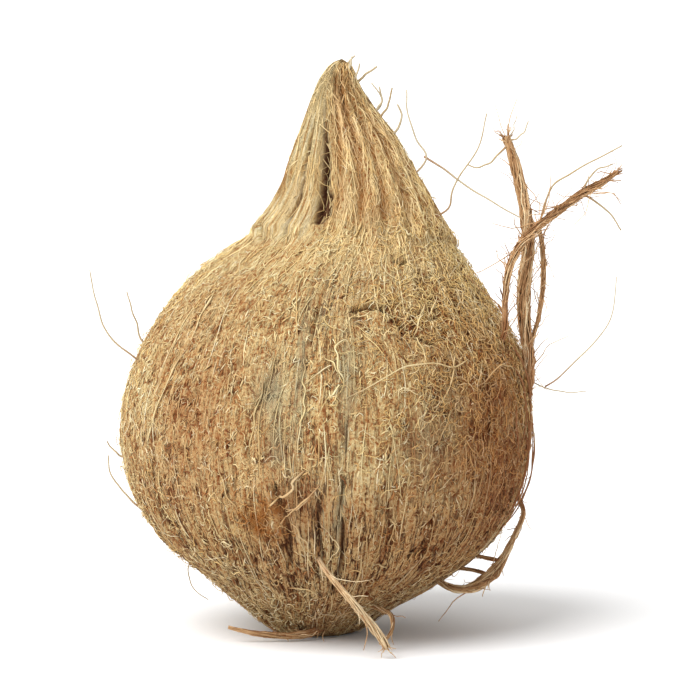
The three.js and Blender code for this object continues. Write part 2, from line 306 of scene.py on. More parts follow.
def cleft_depth(angle, height, radius, mark):
    """A cut that runs up the crown, turning and wandering as it goes, and tapers to nothing at its upper end.
    It is steep on one side and gentle on the other, and gapes more in places."""
    share = (height - mark["low"]) / (mark["high"] - mark["low"])
    wander = 1.5 * cloud(pack(height / 7, 0 * height + mark["angle"], 0.5))
    wander = wander + 1.3 * cloud(pack(height / 2.2, 0 * height + mark["angle"], 3.5))
    middle = np.radians(mark["angle"] + mark["turn"] * share + wander)
    gape = 0.6 + 0.4 * ease(cloud(pack(height / 5, 0 * height + mark["angle"], 8.5)), -0.3, 0.3)
    opened = gape * ease(height, mark["low"] - CLEFT_END, mark["low"])
    opened = opened * (1 - ease(height, mark["high"] - CLEFT_TAPER, mark["high"]))
    offset = between(angle, middle) * radius
    width = mark["width"] * (1 - 0.4 * np.clip(share, 0, 1)) * np.where(offset > 0, mark["gentle"], 1)
    return mark["depth"] * opened * furrow(offset, width)


def slits(angle, height, radius):
    """How far round a place is from each slit's middle, in mm, and how far the slit gapes there, from 0 to 1.
    The two slits of a swelling bow apart at mid height, wander, and gape more in places."""
    share = (height - SLIT["low"]) / (SLIT["high"] - SLIT["low"])
    opened = ease(height, SLIT["low"], SLIT["low"] + SLIT["starts"])
    opened = opened * (1 - ease(height, SLIT["high"] - SLIT["ends"], SLIT["high"]))
    offsets, gapes = [], []
    for lobe in range(LOBES):
        for side in (-1, 1):
            wander = SLIT["wander"] * cloud(pack(height / 13, 5.5 * lobe, 2.5 * side))
            spread = SLIT["spread"] * side * np.sin(np.pi * share)
            middle = np.radians(FRONT + 360 / LOBES * lobe + wander + spread)
            offsets.append(between(angle, middle) * radius)
            torn = ease(cloud(pack(height / 8, 3.5 * lobe, 1.5 * side)), -0.2, 0.5)
            gapes.append(opened * (SLIT["least"] + (1 - SLIT["least"]) * torn))
    return np.array(offsets), np.array(gapes)


def slit_depth(angle, height, radius):
    """The slits as rounded furrows, deeper where they gape."""
    offset, gape = slits(angle, height, radius)
    return SLIT["depth"] * (gape * furrow(offset, SLIT["width"])).sum(axis=0)


def nearest_slit(angle, climb):
    """The offset from the nearest slit's middle and how far that slit gapes."""
    radius, _, height, _, _ = outline_at(climb)
    offset, gape = slits(angle, height, radius)
    nearest = np.abs(offset).argmin(axis=0)[None]
    return np.take_along_axis(offset, nearest, 0)[0], np.take_along_axis(gape, nearest, 0)[0]


def score_depth(points):
    """The scored lines: a furrow of the distance to each."""
    total = 0
    for mark, line in zip(SCORES, SCORE_LINES):
        total = total + mark["depth"] * furrow(distance(points, line), mark["width"])
    return total


def wound_depth(angle, climb):
    """How deep slits, clefts, furrow and scored lines go into the skin, in mm."""
    radius, _, height, _, _ = outline_at(climb)
    cuts = sum(cleft_depth(angle, height, radius, mark) for mark in [*CLEFTS, FURROW])
    return cuts + slit_depth(angle, height, radius) + score_depth(on_outline(angle, climb))


def flap_share(angle):
    """1 on the smooth flap of husk at the crown's left, falling off steeply at its edges."""
    return np.exp(-((between(angle, np.radians(FLAP["angle"])) / np.radians(FLAP["spread"])) ** 6))


def above_edge(angle, height):
    """How far a place is above the crown's ragged and frayed lower edge, which is highest at the front."""
    ragged = COLLAR["ragged"] * round_cloud(angle, 3, 7.3)
    fray = COLLAR["fray"] * round_cloud(angle, 11, 2.1)
    raised = COLLAR["front_rise"] * np.cos(between(angle, np.radians(FRONT)))
    return height - COLLAR["height"] - raised - ragged - fray


def collar_step(angle, height):
    """The dip of the skin under the crown's lower edge, which is faintest at the front."""
    below, front = -above_edge(angle, height), between(angle, np.radians(FRONT))
    faint = 1 - 0.75 * furrow(front, 0.6) - 0.35 * furrow(front - 0.8, 0.5)
    return COLLAR["dip"] * faint * np.exp(-np.maximum(0, below) / COLLAR["fade"]) * ease(below, -0.8, 0.8)


def lobe_turn(angle):
    """The turn to the middle of the nearest swelling, in radians."""
    third = 2 * np.pi / LOBES
    return (angle - np.radians(FRONT) + third / 2) % third - third / 2


def on_band(angle, height):
    """1 on the band of long fibres that runs up the middle of each swelling."""
    return furrow(lobe_turn(angle) / np.radians(BAND["spread"]), 1) * fall("band_top", height)


def band_ribs(angle, height, radius):
    """Narrow ribs up each band: a cosine of the way round it that drifts with height, cut off below zero."""
    drift = round_cloud(angle, 1.5, height / 20)
    ribs = np.cos(2 * np.pi * lobe_turn(angle) * radius / BAND["rib"] + 2.5 * drift)
    return BAND["depth"] * np.maximum(ribs, -0.3) * on_band(angle, height) * rise("ribs_foot", height)


def relief(angle, climb):
    """How far the skin stands out from the outline: swellings, ribs and the flap with its rolled edge, less
    collar and wounds."""
    radius, _, height, _, _ = outline_at(climb)
    crown, settled = rise("crown", height), rise("settled", height)
    point = fall("point", height)
    flap = flap_share(angle)
    swell = LOBE_SWELL * np.cos(LOBES * between(angle, np.radians(FRONT))) * (1 - crown)
    fine = GRAIN["depth"] * np.cos(GRAIN["count"] * angle + 1.7 * np.sin(height / GRAIN["wander"]))
    coarse = RIBS["depth"] * crown_ribs(angle, height)
    ribs = point * (0.5 * fine * (1 - crown) + coarse * crown * (1 - 0.7 * flap))
    ribs = ribs + band_ribs(angle, height, radius)
    ribs = ribs + 0.3 * crown * round_cloud(angle, 8, height / 28)
    edge = furrow(between(angle, np.radians(FLAP["roll_angle"])) * radius, FLAP["roll_width"])
    rolled = FLAP["lift"] * flap + FLAP["roll"] * edge
    raised = rolled * ease(height, FLAP["low"], FLAP["low"] + 8) * point
    bedding = BEDDING["nut"] * (1 - crown) + BEDDING["crown"] * crown * (1 - 0.8 * flap)
    ground = settled * (swell + ribs - bedding - wound_depth(angle, climb))
    return ground + raised - collar_step(angle, height)


def skin_at(angle, climb):
    """The skin without its matting, and which way is out from it: the outline moved out by the relief."""
    radius, lean, _, outward, upward = outline_at(climb)
    height = height_of(climb)
    raised = relief(angle, climb)
    out = np.maximum(0.5, radius + raised * upward)
    point = pack(lean + out * np.cos(angle), out * np.sin(angle), np.maximum(0, height - raised * outward))
    return point, pack(upward * np.cos(angle), upward * np.sin(angle), -outward)


def tangle(angle, height):
    """Where the coir is a deep curly tangle: the right shoulder, and patches behind, chosen by noise."""
    front = 1.1 * spots("tangled", angle, height) + spots("tangled_foot", angle, height)
    chosen = ease(round_cloud(angle, 2.1, height / 30 + 0.4), 0.0, 0.5)
    behind = ease(np.sin(angle), -0.35, 0.3) * fall("back_tangle_top", height)
    return np.clip(front + 0.9 * chosen * behind, 0, 1) * fall("tangle_top", height)


def grey_stain(angle, height):
    """Smooth grey husk showing through at the left of the front, along the slits and in spots behind."""
    return np.clip(spots("grey", angle, height), 0, 1)


def crown_ribs(angle, height):
    """The coarse ribs of the crown, from -1 in a groove to 1 on a rib."""
    return np.cos(RIBS["count"] * angle + 1.3 * np.sin(height / RIBS["wander"]))


def rust_stain(angle, height):
    """Orange-brown spots: low at the left of the front, behind, by gaps in the crown's flap, at its foot and
    tip, and in its grooves."""
    broken = 0.7 + 0.9 * round_cloud(angle, 34, height / 2.4)
    crown = spots("crown_rust", angle, height) * rise("crown_foot", height)
    grooves = np.clip(-crown_ribs(angle, height), 0, 1) * rise("grooves_foot", height)
    grooves = grooves * (1 - flap_share(angle))
    rusty = broken * (spots("broken_rust", angle, height) + crown) + spots("rust", angle, height)
    return np.clip(rusty + 0.6 * grooves, 0, 1)


# How much darker the husk grows towards the base, as damp and painted shade, how far that drifts by noise,
# and the most it darkens.
DARKENING = dict(low=0.24, drift=0.2, darkest=0.76)


def damp_and_painted_shade(angle, height):
    """Where the husk is darker: towards the base, as damp and painted shade; over the front right, as painted
    shade; and with damp low on the front, at the left and on the right of the crown."""
    low = DARKENING["low"] * fall("base", height)
    drift = round_cloud(angle, 2, height / 24)
    drift = drift + 0.7 * round_cloud(angle, 6, height / 9)
    return np.clip(low + spots("damp_and_shade", angle, height) + DARKENING["drift"] * drift, 0, DARKENING["darkest"])


def stains_and_shade(angle, height):
    """Grey, rust, and damp with painted shade as one vector."""
    return pack(grey_stain(angle, height), rust_stain(angle, height), damp_and_painted_shade(angle, height))


def new_object(name, points, faces, measures):
    """A mesh from points in mm and groups of faces with equal numbers of corners. measures names a number or
    a vector for every point."""
    mesh = bpy.data.meshes.new(name)
    corners = np.concatenate([group.ravel() for group in faces]).astype(np.int32)
    sizes = np.concatenate([np.full(len(group), group.shape[1]) for group in faces])
    mesh.vertices.add(len(points))
    mesh.vertices.foreach_set("co", (points * METRES).astype(np.float32).ravel())
    mesh.loops.add(len(corners))
    mesh.loops.foreach_set("vertex_index", corners)
    mesh.polygons.add(len(sizes))
    mesh.polygons.foreach_set("loop_start", (np.cumsum(sizes) - sizes).astype(np.int32))
    mesh.update(calc_edges=True)
    for label, values in measures.items():
        kind, field = ("FLOAT", "value") if values.ndim == 1 else ("FLOAT_VECTOR", "vector")
        layer = mesh.attributes.new(label, kind, "POINT")
        layer.data.foreach_set(field, values.astype(np.float32).ravel())
    mesh.shade_smooth()
    made = bpy.data.objects.new(name, mesh)
    bpy.context.scene.collection.objects.link(made)
    return made


def dress(made, material):
    """Gives a piece its material, and lets it stand for the coconut and ride with it."""
    made.data.materials.append(material)
    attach(made, "root")
    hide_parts("coconut")


def tubes(paths, wide, up, sides=3, flat=1.0):
    """Closed tubes along paths: a ring of points round every point of a path, across its run. wide is half
    the thickness at each point, and flat shrinks a ring in the direction up."""
    count, steps = paths.shape[:2]
    run = unit(np.gradient(paths, axis=1))
    side = unit(np.cross(up, run))
    top = np.cross(run, side) * flat
    turn = 2 * np.pi * np.arange(sides) / sides + np.pi / 2
    ring = side[:, :, None] * np.cos(turn)[:, None] + top[:, :, None] * np.sin(turn)[:, None]
    points = (paths[:, :, None] + ring * wide[:, :, None, None]).reshape(-1, 3)
    corner, following = np.arange(sides), (np.arange(sides) + 1) % sides
    start = (np.arange(count) * steps * sides)[:, None]
    ring_start = start[:, :, None] + (np.arange(steps - 1) * sides)[:, None]
    quads = pack(ring_start + corner, ring_start + following,
                 ring_start + following + sides, ring_start + corner + sides)
    return points, [quads.reshape(-1, 4), start + corner[::-1], start + (steps - 1) * sides + corner]


def on_rings(values, sides=3):
    """A number or vector for each step of each path, repeated for every point of its ring."""
    flat = values.reshape(-1, *values.shape[2:])
    return np.repeat(flat, sides, axis=0)


SKIN_COLUMNS = 340
SKIN_ROWS = 236

# Depths of the mat's relief in mm, how wild its lumps are, and the width of its grooves in its noise.
MATTING = dict(streaks=0.36, lumps=0.34, pits=0.9, grooves=0.9, groove_width=0.11)
WILD = dict(least=0.45, tangled=0.9, shoulder=0.2)
PITS = dict(least=0.62, crowded=0.35, thinned=0.3, edge=0.3)

# Cells of noise in mm, each as (across, along).
COARSE_STREAK = (1.6, 12)
FINE_STREAK = (1.0, 7)
GROOVE = (3.6, 30)
FLOW = (1.0, 9.0)

# The depth in mm at which a wound's painted shade is darkest.
DARKEST_DEPTH = 2.4


def matting(point, angle, climb):
    """The fine relief of the fibre mat, in mm: streaks drawn out up the nut, lumps, and pits that bite into
    it. The tangled parts are wilder, and the crown has streaks alone."""
    height = height_of(climb)
    crown = rise("mat_top", height)
    streaks = cloud(grain_place(angle, climb, *COARSE_STREAK))
    streaks = streaks + 0.6 * cloud(grain_place(angle, climb, *FINE_STREAK) + 9)
    lumps = cloud(point / 5.5) + 0.5 * cloud(point / 2.6)
    wild = WILD["least"] + WILD["tangled"] * tangle(angle, height)
    wild = wild - WILD["shoulder"] * rise("shoulder", height)
    rough = MATTING["streaks"] * streaks + (1 - crown) * MATTING["lumps"] * lumps * wild
    rough = rough - MATTING["pits"] * pits(angle, climb)
    grooves = furrow(cloud(grain_place(angle, climb, *GROOVE) + 5), MATTING["groove_width"])
    rough = rough - MATTING["grooves"] * grooves * bark(angle, height)
    return rough * rise("rough_foot", height) * (1 - 0.8 * rise("tip", height))


def pits(angle, climb):
    """Small pits in the mat, from 0 to 1: the crests of two noises, the coarser one drawn out up the nut.
    They crowd across the left of the front, on the right and in the tangles, and fade over the shoulder."""
    height = height_of(climb)
    point = on_outline(angle, climb)
    crests = cloud(point * (1 / 2.1, 1 / 2.1, 1 / 2.9)) + 0.5 * cloud(point / 1.1)
    crowd = spots("pitted", angle, height) + 0.5 * tangle(angle, height)
    crowd = crowd + 0.3 * ease(np.cos(angle - 0.3), -0.2, 0.6)
    drift = 0.5 * round_cloud(angle, 3.1, height / 16 + 0.7)
    least = PITS["least"] - PITS["crowded"] * np.clip(crowd + drift, 0, 1)
    least = least + PITS["thinned"] * rise("pits_thin", height)
    return ease(crests, least, least + PITS["edge"]) * fall("pits_top", height)


def bark(angle, height):
    """How woody and grooved the husk is: most low on the nut and up the bands, not at all on the crown."""
    low = fall("bark_top", height) * (0.2 + 0.8 * rise("bark_foot", height))
    return np.clip(0.2 + 0.8 * low + 0.4 * on_band(angle, height), 0, 1) * fall("husk_top", height)


def matted_skin():
    """The skin as a grid: the angle round the axis by the climb, each point moved out by the relief and the
    matting. One point closes it at the flat spot and one at the tip."""
    angle = np.linspace(-np.pi, np.pi, SKIN_COLUMNS, endpoint=False)[None, :].repeat(SKIN_ROWS, axis=0)
    climb = np.linspace(0, CLIMB[-1], SKIN_ROWS)[:, None].repeat(SKIN_COLUMNS, axis=1)
    point, out = skin_at(angle, climb)
    rough = matting(point, angle, climb)
    point = point + out * rough[..., None]
    point[..., 2] = np.maximum(point[..., 2], 0)

    def closed(values, ends=None):
        """The grid's values, then those of its two end points, by default the nearest ones."""
        first, last = ends or (values[0, 0], values[-1, 0])
        return np.concatenate([values.reshape(-1, *values.shape[2:]), [first, last]])

    at = np.arange(SKIN_ROWS * SKIN_COLUMNS).reshape(SKIN_ROWS, SKIN_COLUMNS)
    following = np.roll(at, -1, axis=1)
    faces = [
        pack(at[:-1], following[:-1], following[1:], at[1:]).reshape(-1, 4),
        pack(following[0], at[0], at.size),
        pack(at[-1], following[-1], at.size + 1),
    ]
    height = point[..., 2]
    slit, gape = nearest_slit(angle, climb)
    # Red-brown where the mat lies low, in pits and in tangles: partly the husk's own colour, partly painted
    # shade in the hollows.
    pitted = 0.35 - 0.5 * rough + 0.6 * pits(angle, climb) + 0.3 * tangle(angle, height)
    measures = {
        "slit": closed(slit),
        "gape": closed(gape),
        "flow": closed(grain_place(angle, climb, *FLOW)),
        "stain_and_shade": closed(stains_and_shade(angle, height)),
        "deep": closed(np.clip(wound_depth(angle, climb) / DARKEST_DEPTH, 0, 1)),
        "pit": closed(np.clip(pitted, 0, 1)),
        "bark": closed(bark(angle, height)),
        "flap": closed(flap_share(angle) * ease(above_edge(angle, height), -4.5, -2.5)),
    }
    points = closed(point, ((0, 0, 0), (OUTLINE[-1, 2], 0, TIP)))
    return new_object("matted_skin", points, faces, measures)


# The coats of fibre that lie over the skin. Lengths, thicknesses and heights are in mm and angles in degrees.
# A fibre's aim is measured from straight up; spread varies it from fibre to fibre, curl turns it along the
# fibre, and swing sways it. Its root lies sink under the skin, its middle rises by crest and its end by free.
COATS = {
    "under_coat": dict(
        count=8300, length=(1.3, 3.8), thick=(0.4, 0.75), flat=0.4, steps=4, spread=20, curl=40, swing=20,
        sink=0.4, crest=(0.0, 0.4), free=(-0.3, 0.3), tone=(0.47, 0.23)),
    "top_coat": dict(
        count=6900, length=(1.1, 3.8), thick=(0.2, 0.42), flat=0.7, steps=5, spread=48, curl=95, swing=35,
        sink=0.5, crest=(0.05, 0.5), free=(-0.4, 0.5), tone=(0.62, 0.25)),
    "curly_coat": dict(
        count=4400, length=(3.5, 11), thick=(0.2, 0.34), flat=0.9, steps=8, spread=80, curl=180, swing=60,
        sink=0.7, crest=(0.2, 1.4), free=(-0.3, 1.0), tone=(0.61, 0.25)),
    "crown_fibres": dict(
        count=2900, length=(4, 16), thick=(0.22, 0.48), flat=0.7, steps=6, spread=8, curl=20, swing=11,
        sink=0.5, crest=(0.0, 0.4), free=(-0.4, 0.4), tone=(0.7, 0.26)),
    "long_fibres": dict(
        count=460, length=(10, 36), thick=(0.25, 0.55), flat=0.6, steps=12, spread=5, curl=8, swing=4,
        sink=0.5, crest=(0.0, 0.5), free=(-0.4, 0.5), tone=(0.66, 0.22)),
    "fuzz": dict(
        count=1200, length=(2, 8), thick=(0.12, 0.22), flat=1.0, steps=6, spread=45, curl=80, swing=30,
        sink=0.4, crest=(0.2, 1.0), free=(0.5, 2.6), tone=(0.8, 0.15)),
}


def on_nut(angle, height):
    """Short coats cover the nut up to the crown's edge, thinly over grey husk, woody husk and tangles."""
    bare = 1 - 0.4 * grey_stain(angle, height) - 0.35 * tangle(angle, height) - 0.75 * bark(angle, height)
    under_flap = ease(above_edge(angle, height) + 3 * flap_share(angle), -3, 1)
    return np.clip(bare, 0.1, 1) * (1 - under_flap) * rise("coat_foot", height)


def on_tangle(angle, height):
    """Curly fibres crowd the tangles and the rusty spots, with a few all over the nut."""
    crowd = tangle(angle, height) + 0.5 * rust_stain(angle, height) * fall("rusty_curls_top", height)
    off_flap = 1 - flap_share(angle) * rise("flap_foot", height)
    return np.clip(crowd, 0.02, 1) * rise("clear_of_base", height) * off_flap


def on_crown(angle, height):
    """Straight fibres cover the crown but for its smooth flap."""
    above = ease(above_edge(angle, height), -5, 0)
    return above * (1 - 0.88 * flap_share(angle)) * (1 - 0.5 * rise("fibres_tip", height))


def on_strips(angle, height):
    """Long fibres run up the bands, with some elsewhere, and none on the flap."""
    return (0.2 + 0.8 * on_band(angle, height)) * rise("clear_of_base", height) * fall("husk_top", height)


def everywhere(angle, height):
    """All over, most in the tangles, thinly on the flap and on woody husk, and not under the base or at the
    tip."""
    bare = 1 - 0.8 * flap_share(angle) * rise("flap_foot", height) - 0.6 * bark(angle, height)
    return bare * (0.4 + 0.6 * tangle(angle, height)) * rise("fuzz_foot", height) * fall("fuzz_top", height)


WHERE = {
    "under_coat": on_nut, "top_coat": on_nut, "curly_coat": on_tangle,
    "crown_fibres": on_crown, "long_fibres": on_strips, "fuzz": everywhere,
}


# How much fewer roots there are in wounds, which is less in the clefts, and in pits.
THINNED = dict(wound=0.9, cleft=0.25, pit=0.85)


def draw_roots(draw, count, where):
    """count places on the skin, even by area and thinned by where, and thinned again in wounds and pits."""
    angles, climbs = np.empty(0), np.empty(0)
    area = np.cumsum(np.append(0, np.diff(CLIMB) * (OUT[1:] + OUT[:-1]) / 2))
    while len(angles) < count:
        angle = draw.uniform(-np.pi, np.pi, 2 * count)
        climb = np.interp(draw.random(2 * count) * area[-1], area, CLIMB)
        height = height_of(climb)
        closed = THINNED["wound"] - THINNED["cleft"] * rise("cleft_foot", height)
        closed = closed * ease(wound_depth(angle, climb), 0.3, 1.0)
        open_skin = (1 - closed) * (1 - THINNED["pit"] * pits(angle, climb))
        kept = draw.random(2 * count) < where(angle, height) * open_skin
        angles, climbs = np.append(angles, angle[kept]), np.append(climbs, climb[kept])
    return angles[:count, None], climbs[:count, None]


def lay(name, angles, climbs, lift, wide, flat, tones):
    """Tubes that follow paths over the skin, each lifted off it along the outward direction."""
    point, out = skin_at(angles, climbs)
    paths = point + out * lift[..., None]
    paths[..., 2] = np.maximum(paths[..., 2], wide + 0.05)
    points, faces = tubes(paths, wide, out, flat=flat)
    height = point[..., 2]
    along = np.broadcast_to(np.linspace(0, 1, angles.shape[1]), angles.shape)
    measures = {
        "tone": on_rings(np.broadcast_to(tones, angles.shape)),
        "along": on_rings(along),
        "stain_and_shade": on_rings(stains_and_shade(angles, height)),
    }
    return new_object(name, points, faces, measures)


# How much paler fibres are where the mat is calm and at the base.
PALER = dict(calm=0.1, base=0.16)


def coat(name, seed, count, length, thick, flat, steps, spread, curl, swing, sink, crest, free, tone):
    """A coat of fibres. Each walks over the skin in even steps from its root: cos(aim) of a step goes up and
    sin(aim) round. The height over the skin is -sink (1 - t)^2 + crest sin(pi t) + free t^2.2."""
    draw = np.random.default_rng([SEED, seed])
    angle, climb = draw_roots(draw, count, WHERE[name])
    t = np.linspace(0, 1, steps)
    sway = np.sin(2 * np.pi * (t * draw.uniform(0.5, 2.2, (count, 1)) + draw.random((count, 1))))
    aim = spread * draw.normal(0, 1, (count, 1)) + curl * draw.normal(0, 1, (count, 1)) * t + swing * sway
    aim = np.radians(aim) + np.pi * (draw.random((count, 1)) < 0.5)
    step = draw.uniform(*length, (count, 1)) / (steps - 1)
    ups, rounds = np.cumsum(np.cos(aim) * step, axis=1), np.cumsum(np.sin(aim) * step, axis=1)
    climbs = np.clip(climb + ups, 0.6, CLIMB[-1] - 0.3)
    angles = angle + rounds / np.maximum(outline_at(climbs)[0], 4)
    lift = draw.uniform(*crest, (count, 1)) * np.sin(np.pi * t) - sink * (1 - t) ** 2
    lift = lift + draw.uniform(*free, (count, 1)) * t**2.2
    wide = draw.uniform(*thick, (count, 1)) / 2 * (1 - 0.55 * t**3)
    height = height_of(climb)
    calm = rise("shoulder", height) + 0.7 * fall("low_calm_top", height)
    paler = PALER["calm"] * calm + PALER["base"] * fall("pale_base_top", height)
    tones = np.clip(tone[0] + paler + tone[1] * (1 - 0.45 * calm) * draw.normal(0, 1, (count, 1)), 0, 1)
    return lay(name, angles, climbs, lift, wide, flat, tones)


def fibre(arch, thick, *route):
    """A single fibre: how high it arches and how thick it is, in mm, and its route of (degrees, height)."""
    return dict(arch=arch, thick=thick, route=route)


# Pale fibres that lie across the nut and the foot of the crown.
LAID = [
    fibre(1.6, 0.75, (-88, 73), (-80, 77), (-73, 80), (-66, 83), (-60, 83), (-51, 82), (-40, 84)),
    fibre(1.5, 0.9, (-50, 101), (-54, 98), (-60, 92), (-60, 87), (-58, 82)),
    fibre(1.8, 0.9, (-82, 87), (-85, 89.5), (-87.5, 88), (-87, 83), (-85, 77)),
    fibre(1.2, 0.8, (-59, 69), (-56, 73), (-52, 78), (-49, 83), (-46, 86)),
    fibre(1.8, 0.8, (-46, 77), (-39, 76.5), (-33, 79.5), (-24, 80), (-15, 77)),
    fibre(0.8, 0.7, (-58, 60), (-56, 64), (-53, 70), (-52, 75)),
    fibre(1.6, 0.8, (-91, 51), (-95, 47), (-99, 43.5), (-104, 38)),
    fibre(1.0, 0.6, (-93, 48.5), (-97, 44.5), (-102, 42.5)),
    fibre(0.9, 1.4, (-95, 55), (-98.5, 51.5), (-99, 49), (-103, 46.5), (-106, 44)),
    fibre(1.4, 0.6, (-93, 40), (-88, 36), (-86.5, 33), (-89, 28.5), (-91, 26)),
    fibre(1.5, 0.6, (-78, 25), (-75, 19), (-72, 13), (-66, 8)),
    fibre(1.2, 0.6, (-107, 18), (-100, 19.5), (-94, 18), (-95, 14.5)),
    fibre(0.3, 0.5, (-116, 125), (-113, 133), (-116, 141)),
    fibre(1.0, 0.4, (-106, 126), (-112, 129), (-119, 136)),
    fibre(0.4, 0.6, (-83, 99), (-75, 100.2), (-70, 99.2), (-63, 94)),
    fibre(0.6, 0.9, (-60, 121), (-54, 118), (-47, 118)),
    fibre(1.0, 0.8, (-93, 28), (-94.5, 31), (-97, 36), (-100.8, 41.5)),
    fibre(0.6, 1.1, (-101, 117), (-98, 113), (-95, 110)),
    fibre(0.5, 0.9, (-97, 87), (-97, 80), (-96, 73), (-97, 66)),
    fibre(0.8, 0.7, (-92, 87), (-87, 82), (-85, 80)),
    fibre(0.8, 0.6, (-97, 78), (-92, 82), (-88, 84)),
    fibre(0.8, 1.2, (-83, 123), (-85, 120), (-88, 117)),
    fibre(0.9, 0.8, (-81, 122), (-82, 118), (-84, 113)),
    fibre(0.5, 0.9, (-146, 105), (-142, 97), (-141, 88)),
    fibre(0.5, 0.9, (-140, 90), (-143, 80), (-146, 68), (-151, 55)),
    fibre(0.5, 1.0, (-108, 82), (-110, 70), (-111, 58)),
    fibre(0.5, 0.7, (-120, 60), (-119, 50), (-115, 40)),
    fibre(2.0, 0.8, (20, 100), (30, 92), (38, 96), (45, 88), (42, 78)),
    fibre(1.6, 0.8, (70, 60), (78, 68), (90, 72), (99, 66)),
    fibre(1.4, 0.8, (120, 96), (112, 88), (110, 78), (116, 70)),
    fibre(1.6, 0.7, (150, 50), (158, 44), (168, 44), (174, 36)),
    fibre(1.2, 0.8, (88, 28), (92, 20), (101, 15)),
]

# Darker fibres that run down the right side from the roots of the torn strands.
ROOTS = [
    fibre(1.6, 1.1, (-15, 92), (-12, 80), (-9, 66), (-12, 50)),
    fibre(1.4, 1.3, (-8, 88), (-6, 76), (-7, 62), (-5, 48)),
    fibre(1.3, 0.9, (-18, 84), (-15, 70), (-16, 56)),
    fibre(1.5, 1.2, (-11, 72), (-13, 56), (-16, 42), (-15, 32)),
    fibre(1.7, 1.0, (-4, 74), (-7, 58), (-4, 44), (-7, 34)),
    fibre(1.5, 0.8, (-13, 62), (-9, 48), (-12, 36), (-18, 27)),
    fibre(1.0, 0.8, (-20, 76), (-22, 64), (-19, 52)),
    fibre(1.5, 0.9, (-2, 66), (-1, 54), (-4, 42), (-9, 30)),
]
LAID_STEPS = 26


def laid(name, seed, fibres, tone):
    """Single fibres as one mesh. Each arches as the sine of its run, sways a little, thickens and thins by
    noise, and roots at its ends."""
    draw = np.random.default_rng([SEED, seed])
    count = len(fibres)
    t = np.linspace(0, 1, LAID_STEPS)
    routes = np.stack([skin_route(one["route"], LAID_STEPS) for one in fibres])
    sway = 0.35 * np.sin(2 * np.pi * (t * draw.uniform(2, 4, (count, 1)) + draw.random((count, 1))))
    arch = np.array([one["arch"] for one in fibres])[:, None]
    lift = arch * np.sin(np.pi * t) ** 0.7 - 0.7 * (1 - np.sin(np.pi * t)) ** 4
    thick = np.array([one["thick"] for one in fibres])[:, None]
    uneven = 0.75 + 0.5 * cloud(pack(11 * t, 4.3 * np.arange(count)[:, None], seed + 0.5))
    wide = thick / 2 * uneven * (0.55 + 0.45 * np.sin(np.pi * t))
    tones = draw.uniform(*tone, (count, 1))
    return lay(name, routes[:, 0] + sway / WIDEST, routes[:, 1] + sway, lift, wide, 0.8, tones)


# The torn strands, on the routes of the CAD solid: points in mm, and the thickness at even steps along them.
STRANDS = {
    "stout_strand": dict(
        route=[(57, -7, 62), (60.6, -7, 71), (61.2, -6, 80), (60, -5, 89), (59.7, -5, 100), (60.9, -5, 111.5),
               (60.3, -5, 121.7), (58.3, -5, 131), (56, -5, 139.5), (54.5, -5, 144)],
        thickness=[3, 3.2, 3.4, 3.7, 3.9, 3.8, 3.8, 3.6, 3, 2.2], flat=0.7, frays=150, tone=0.62, tuft=22,
        wisps=14),
    "crossing_strand": dict(
        route=[(50.5, -13, 81), (53.9, -16.5, 89), (53.9, -17, 97), (54.8, -16, 105), (56.5, -14, 110.3),
               (59.4, -11.5, 114.7), (63.5, -10, 118.6), (67.5, -8.5, 121.5), (72, -6, 124.7),
               (77, -4, 127.9), (82, -3, 130.6), (86.6, -2, 133.6)],
        thickness=[1.5, 1.5, 1.5, 1.6, 1.9, 2.2, 2.4, 2.3, 2.3, 2.4, 2, 1.1], flat=0.9, frays=180, tone=0.46,
        tuft=10, wisps=34),
    "thin_strand": dict(
        route=[(57, -3, 69), (61.7, -2, 75.7), (62, -2, 83.6), (64, -4, 91.6), (65.2, -5, 100),
               (65.2, -6, 108), (64.6, -8, 114.7), (63.6, -9.8, 118.6)],
        thickness=[1.3, 1.3, 1.2, 1.1, 1.3, 1.5, 1.3, 1], flat=0.8, frays=90, tone=0.54, wisps=12),
    "front_strand": dict(
        route=[(-2.9, -44, 34), (2.6, -51.5, 26), (7.5, -53, 20), (12.7, -53, 13.9), (16.7, -52, 8.8),
               (19.3, -51, 5), (20.2, -50, 3.2)],
        thickness=[0.9, 1, 1.3, 1.7, 2.3, 2.8, 2], flat=0.8, frays=26, tone=0.78, tuft=14),
    "web_pad": dict(
        route=[(56.5, -4, 42.6), (59.7, -8, 35.8), (57.4, -10, 29.9), (55.1, -12, 25.5), (53, -13, 21.8),
               (50.2, -14, 18.4), (46.7, -15, 15.9), (42, -15, 14.5), (38, -13, 15), (33, -9, 18)],
        thickness=[1, 1.1, 1.2, 1.5, 2.6, 4.4, 4, 2.6, 2, 1.6], flat=0.5, frays=50, tone=0.55),
    "web_upper_bridge": dict(
        route=[(53, -13, 22.3), (48.5, -10, 22.9), (40, -6, 24)], thickness=[1.2, 1, 1.3], flat=0.8, frays=2,
        tone=0.4),
    "web_lower_bridge": dict(
        route=[(50, -14, 18.4), (45.6, -11, 19.3), (37, -8, 20)], thickness=[1.2, 1, 1.3], flat=0.8, frays=2,
        tone=0.4),
    "base_sliver": dict(
        route=[(4, -14, 4.4), (-1.2, -18.5, 2.4), (-4.6, -20, 1.9), (-11.8, -21, 2.1), (-17.6, -22, 2.8),
               (-21.9, -22, 3.7), (-25.1, -22, 4.5)],
        thickness=[1.8, 2.2, 2.2, 1.9, 1.5, 1.1, 0.6], flat=0.4, frays=14, tone=0.56),
    "base_loop": dict(
        route=[(10, -18, 13), (17.9, -27, 10.8), (21.6, -33, 9.6), (21.9, -36, 6.6), (20.2, -40, 4.2),
               (18.2, -42, 3.2)],
        thickness=[1.6, 1.4, 1.4, 1.3, 1, 0.7], flat=0.8, frays=6, tone=0.42),
}
STRAND_STEP = 0.8
FRAY_STEPS = 8

